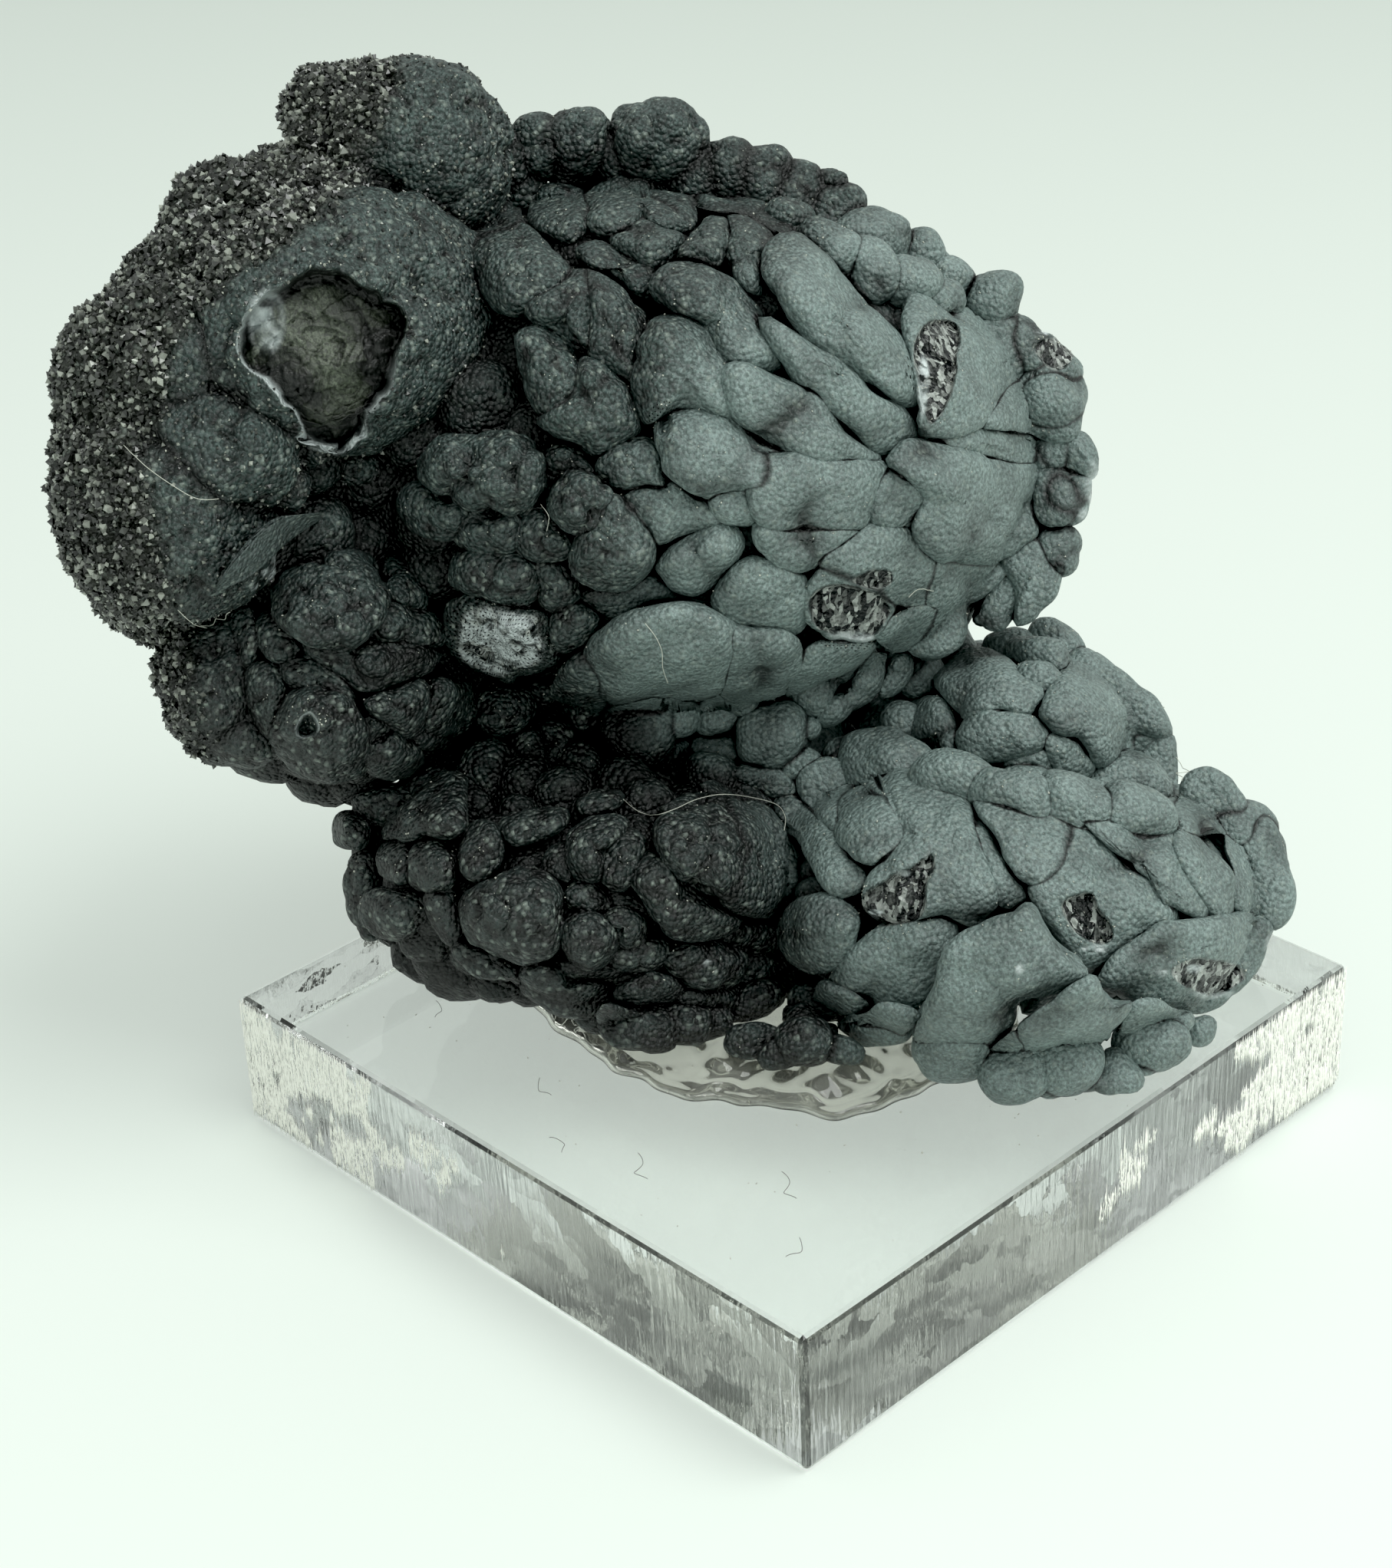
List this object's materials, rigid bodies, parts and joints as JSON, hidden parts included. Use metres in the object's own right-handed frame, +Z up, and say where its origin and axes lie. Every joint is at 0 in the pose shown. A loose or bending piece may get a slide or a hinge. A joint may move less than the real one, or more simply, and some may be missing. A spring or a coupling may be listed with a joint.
{
  "type": "cryptomelane mineral specimen",
  "caption": "Botryoidal cryptomelane, a dark lobed mineral mass with an overhanging crown, glued on a square clear acrylic display block.",
  "frame": {"origin": "centre of the acrylic block's underside", "axes": "+Z up, X and Y along the block's sides; the picture looks from the corner between +X and -Y"},
  "size_m": [0.1094, 0.0938, 0.1026],
  "materials": {
    "manganese_oxide": "dark grey-green manganese oxide, satin on the lobes, sparkling crust on the left domes, glassy in the fresh chips",
    "clear_adhesive": "clear glossy set adhesive with flow swirls",
    "clear_acrylic": "clear acrylic, polished top, machined sides with fine streaks"
  },
  "bodies": {
    "root": {"cryptomelane": "manganese_oxide", "adhesive": "clear_adhesive", "acrylic_base": "clear_acrylic"}
  },
  "joints": []
}
